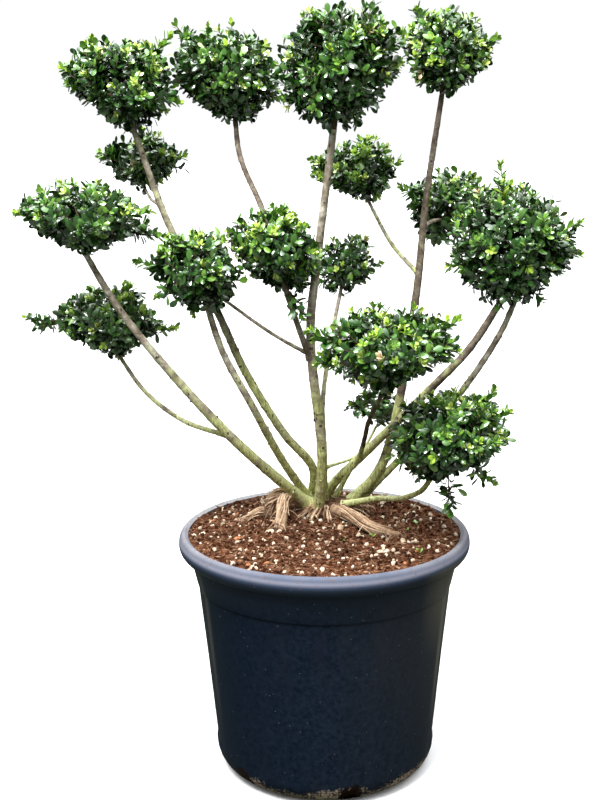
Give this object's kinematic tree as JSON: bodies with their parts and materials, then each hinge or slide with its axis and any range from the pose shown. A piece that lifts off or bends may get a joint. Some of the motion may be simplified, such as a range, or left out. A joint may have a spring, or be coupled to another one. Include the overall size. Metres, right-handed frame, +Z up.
{
  "type": "potted japanese holly cloud tree",
  "caption": "Evergreen holly shrub pruned into separate leafy clouds on bare branching stems, rooted in potting soil in a tapered round black plastic nursery pot with a rolled rim.",
  "frame": {"origin": "centre of the pot's flat underside", "axes": "+Z up along the pot's axis, -Y towards the picture's viewpoint, +X to the viewer's right"},
  "size_m": [0.968, 0.5678, 1.3648],
  "materials": {
    "pot_plastic": "moulded black nursery plastic with a faint blue cast, slightly dusty on the rim",
    "soil": "reddish brown potting mix of peat and bark with pale grit",
    "bark": "smooth bark, olive green with algae near the foot and grey-brown higher up",
    "foliage": "small glossy dark green leaves with paler young tips"
  },
  "bodies": {
    "root": {"pot": "pot_plastic", "soil": "soil", "trunk": "bark", "stem_top_right": "bark", "stem_left": "bark", "stem_right_inner": "bark", "stem_top_left": "bark", "stem_centre_left": "bark", "stem_right_outer": "bark", "stem_front_low": "bark", "stem_top_left_centre": "bark", "bough_left_low": "bark", "bough_back_left": "bark", "bough_centre_left": "bark", "bough_back_centre": "bark", "bough_back_right": "bark", "bough_far_right": "bark", "bough_front": "bark", "bough_back_low": "bark", "cloud_top_left": "foliage", "cloud_top_left_centre": "foliage", "cloud_top_centre": "foliage", "cloud_top_right": "foliage", "cloud_back_left": "foliage", "cloud_left": "foliage", "cloud_left_low": "foliage", "cloud_centre_left": "foliage", "cloud_centre": "foliage", "cloud_back_centre": "foliage", "cloud_back_right": "foliage", "cloud_far_right": "foliage", "cloud_right": "foliage", "cloud_front": "foliage", "cloud_front_low": "foliage", "cloud_back_low": "foliage"}
  },
  "joints": []
}
